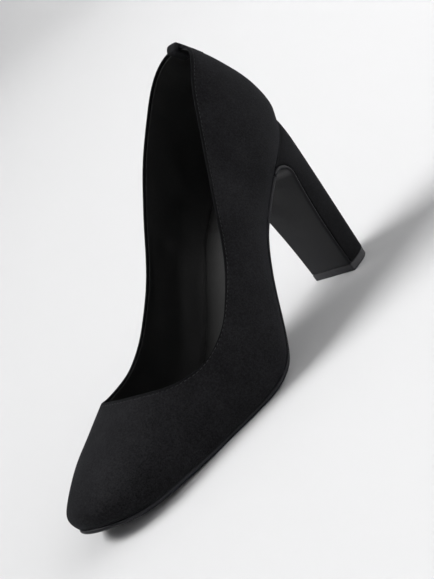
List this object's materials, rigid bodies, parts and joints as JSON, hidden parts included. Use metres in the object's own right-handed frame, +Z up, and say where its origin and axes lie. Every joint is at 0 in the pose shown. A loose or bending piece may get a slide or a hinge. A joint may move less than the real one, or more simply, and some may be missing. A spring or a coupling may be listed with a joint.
{
  "type": "block heel pump",
  "caption": "Closed-toe pump for the left foot on a high covered block heel, with a low-cut topline, a thin sole and a breast flap down the heel's front.",
  "frame": {"origin": "On the floor plane, under the middle of the shoe's bounding box.", "axes": "+X from the heel to the toe, +Y to the shoe's outer (left) side, +Z up."},
  "size_m": [0.2312, 0.0872, 0.1466],
  "materials": {
    "upper_suede": "fine black suede nap, matte",
    "heel_cover_suede": "the same black suede, stretched over the block",
    "sole_unit": "smooth black sole, satin",
    "top_piece_rubber": "dense black rubber, satin",
    "sock_lining": "smooth black sock"
  },
  "bodies": {
    "root": {"upper": "upper_suede", "heel": "heel_cover_suede", "back_tab": "upper_suede", "outsole": "sole_unit", "top_piece": "top_piece_rubber", "insole": "sock_lining"}
  },
  "joints": []
}
